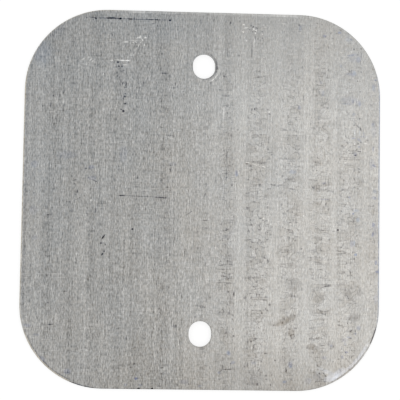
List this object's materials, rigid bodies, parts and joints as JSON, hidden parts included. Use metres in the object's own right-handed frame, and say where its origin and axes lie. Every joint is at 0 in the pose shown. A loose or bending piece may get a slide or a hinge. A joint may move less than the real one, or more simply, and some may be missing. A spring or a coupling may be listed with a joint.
{
  "type": "voltage regulator cover",
  "caption": "Flat cover plate of bare aluminium sheet, a rounded rectangle with a short upright screw slot near its top and its bottom edge, which closes a voltage regulator's opening.",
  "frame": {"origin": "middle of the flat back face, which is also the middle of the outline", "axes": "+X across the plate to its right, +Y up the plate towards the slot with the bevel, +Z out of the front face"},
  "size_m": [0.1016, 0.1074, 0.0016],
  "materials": {
    "aluminium_sheet": "bare mill finish with a fine grain that runs up the plate, dulled, scratched and water stained"
  },
  "bodies": {
    "root": {"cover_plate": "aluminium_sheet"}
  },
  "joints": []
}
